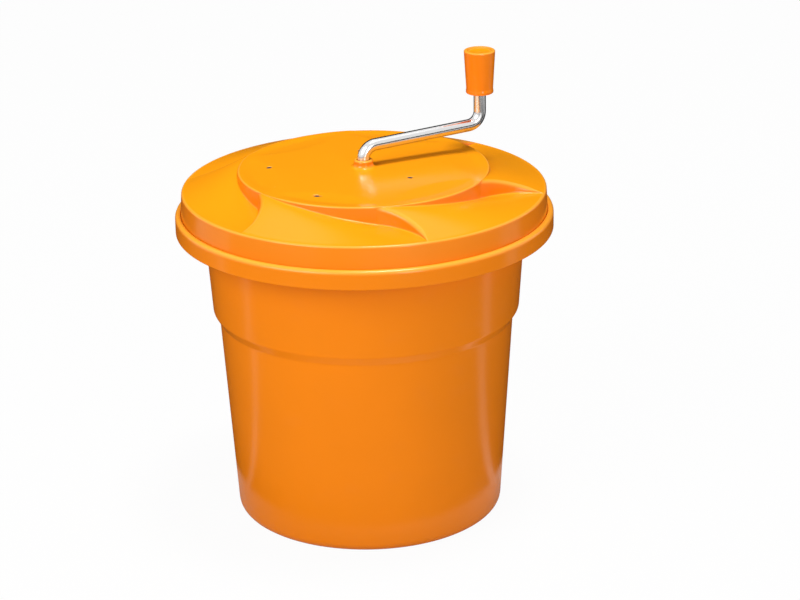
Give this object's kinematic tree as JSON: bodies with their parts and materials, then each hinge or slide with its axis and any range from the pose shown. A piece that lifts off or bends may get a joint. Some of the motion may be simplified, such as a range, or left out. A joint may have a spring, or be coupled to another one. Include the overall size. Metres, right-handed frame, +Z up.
{
  "type": "hand-cranked salad spinner",
  "caption": "Round plastic bucket with a lid that carries a crank, which turns a perforated basket inside through a gear train to spin water off leaves.",
  "frame": {"origin": "middle of the bucket's underside, on the plane it stands on", "axes": "+Z up along the bucket's and the crank's axis, which is the longest side; -Y is the side the picture is taken from; the crank's arm points 25 degrees from +X towards +Y"},
  "size_m": [0.3349, 0.335, 0.409],
  "materials": {
    "bucket_plastic": "smooth moulded orange polypropylene",
    "lid_plastic": "smooth moulded orange polypropylene",
    "basket_plastic": "moulded off-white polypropylene",
    "acetal": "natural acetal, as cut and moulded",
    "stainless": "satin drawn stainless bar",
    "fastener_steel": "bright stainless",
    "seal_rubber": "soft black rubber"
  },
  "bodies": {
    "bucket": {"bucket": "bucket_plastic", "pivot_pin": "fastener_steel"},
    "pivot": {"pivot_bush": "acetal", "bush_clip": "fastener_steel"},
    "basket": {"basket": "basket_plastic", "hub_cap": "basket_plastic", "drive_bar": "bucket_plastic", "bar_screws": "fastener_steel"},
    "lid": {"lid": "lid_plastic", "crank_bush": "acetal", "case_seal": "seal_rubber", "gear_case": "basket_plastic", "case_screws": "fastener_steel", "hole_plugs": "seal_rubber", "idler_pin": "fastener_steel", "driver_bush": "acetal"},
    "idler": {"idler_gear": "acetal"},
    "driver": {"driver_shaft": "stainless", "driver_pinion": "acetal", "driver_clip": "fastener_steel"},
    "crank": {"crank_rod": "stainless", "crank_gear": "acetal", "thrust_washer": "fastener_steel", "crank_screw": "fastener_steel", "crank_washer": "fastener_steel", "knob_screw": "fastener_steel", "knob_washer": "fastener_steel"},
    "knob": {"knob": "bucket_plastic", "knob_cap": "lid_plastic"}
  },
  "joints": [
    {"name": "basket_lift", "type": "slide", "parent": "bucket", "child": "pivot", "axis": [0, 0, 1], "range_m": [0, 0.3]},
    {"name": "basket_spin", "type": "hinge", "parent": "pivot", "child": "basket", "pos_m": [0, 0, 0.06], "axis": [0, 0, 1], "continuous": true},
    {"name": "lid_lift", "type": "slide", "parent": "pivot", "child": "lid", "axis": [0, 0, 1], "range_m": [0, 0.35]},
    {"name": "crank_spin", "type": "hinge", "parent": "lid", "child": "crank", "pos_m": [0, 0, 0.32], "axis": [0, 0, 1], "continuous": true},
    {"name": "idler_spin", "type": "hinge", "parent": "lid", "child": "idler", "pos_m": [-0.04291, -0.02938, 0.3], "axis": [0, 0, 1], "continuous": true},
    {"name": "driver_spin", "type": "hinge", "parent": "lid", "child": "driver", "pos_m": [0, 0, 0.285], "axis": [0, 0, 1], "continuous": true},
    {"name": "knob_spin", "type": "hinge", "parent": "crank", "child": "knob", "pos_m": [0.10486, 0.0489, 0.39], "axis": [0, 0, 1], "continuous": true}
  ],
  "couplings": [
    {"joint": "driver_spin", "follows": "basket_spin", "ratio": 1},
    {"joint": "idler_spin", "follows": "basket_spin", "ratio": -0.48571},
    {"joint": "crank_spin", "follows": "basket_spin", "ratio": 0.23592}
  ]
}
